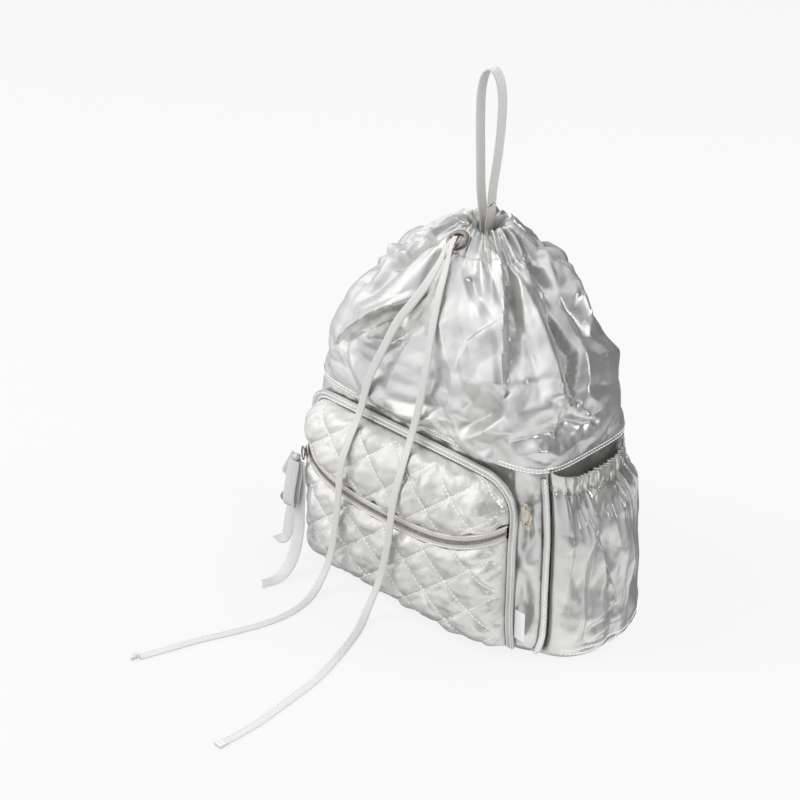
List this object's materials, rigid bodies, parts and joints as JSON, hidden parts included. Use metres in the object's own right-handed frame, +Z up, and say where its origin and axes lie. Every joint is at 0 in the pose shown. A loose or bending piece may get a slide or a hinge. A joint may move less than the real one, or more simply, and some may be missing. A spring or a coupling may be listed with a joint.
{
  "type": "quilted drawstring backpack",
  "caption": "Soft backpack of silver coated nylon with a quilted padded front pocket, gathered side pockets, a drawstring mouth with long flat laces, a webbing loop and a ribbon bow on the zip.",
  "frame": {"origin": "middle of the bottom panel, on the surface that the bag stands on", "axes": "+Z is up from the base to the mouth, -Y is the front with the quilted pocket, +X is the side of the pocket that shows in the picture"},
  "size_m": [0.3435, 0.4441, 0.4929],
  "materials": {
    "coated_nylon": "silver coated smooth nylon with a soft metallic sheen",
    "quilted_nylon": "the same coated nylon, padded and stitched in diamonds",
    "satin_ribbon": "silver grey satin",
    "woven_lace": "flat woven polyester tape, grey with a slight sheen",
    "grey_webbing": "ribbed grey webbing",
    "zip_tape": "woven grey-brown tape",
    "zip_coil_nylon": "nylon coil",
    "dark_nickel": "polished, slightly warm nickel plating",
    "pale_metal": "polished pale gold-nickel plating",
    "white_tape": "white woven tape, blank"
  },
  "bodies": {
    "root": {"lower_body": "coated_nylon", "base_panel": "coated_nylon", "upper_body": "coated_nylon", "eyelet_patch": "coated_nylon", "eyelet": "dark_nickel", "pocket_front": "quilted_nylon", "pocket_lid": "quilted_nylon", "zip_tape_lower": "zip_tape", "zip_tape_upper": "zip_tape", "zip_coil": "zip_coil_nylon", "pocket_binding": "coated_nylon", "zip_slider": "dark_nickel", "pull_ring": "dark_nickel", "bow_knot": "satin_ribbon", "bow_loop_front": "satin_ribbon", "bow_loop_side": "satin_ribbon", "bow_tail_long": "satin_ribbon", "bow_tail_short": "satin_ribbon", "bell": "dark_nickel", "side_pocket_right": "coated_nylon", "side_pocket_left": "coated_nylon", "side_seam_right": "coated_nylon", "side_seam_left": "coated_nylon", "d_ring": "pale_metal", "lace_left": "woven_lace", "lace_right": "woven_lace", "lace_left_knot": "woven_lace", "lace_right_end": "woven_lace", "loop_handle": "grey_webbing", "d_ring_tab": "coated_nylon", "label": "white_tape", "shoulder_strap_right": "coated_nylon", "shoulder_strap_left": "coated_nylon", "strap_webbing_right": "grey_webbing", "strap_webbing_left": "grey_webbing"}
  },
  "joints": []
}
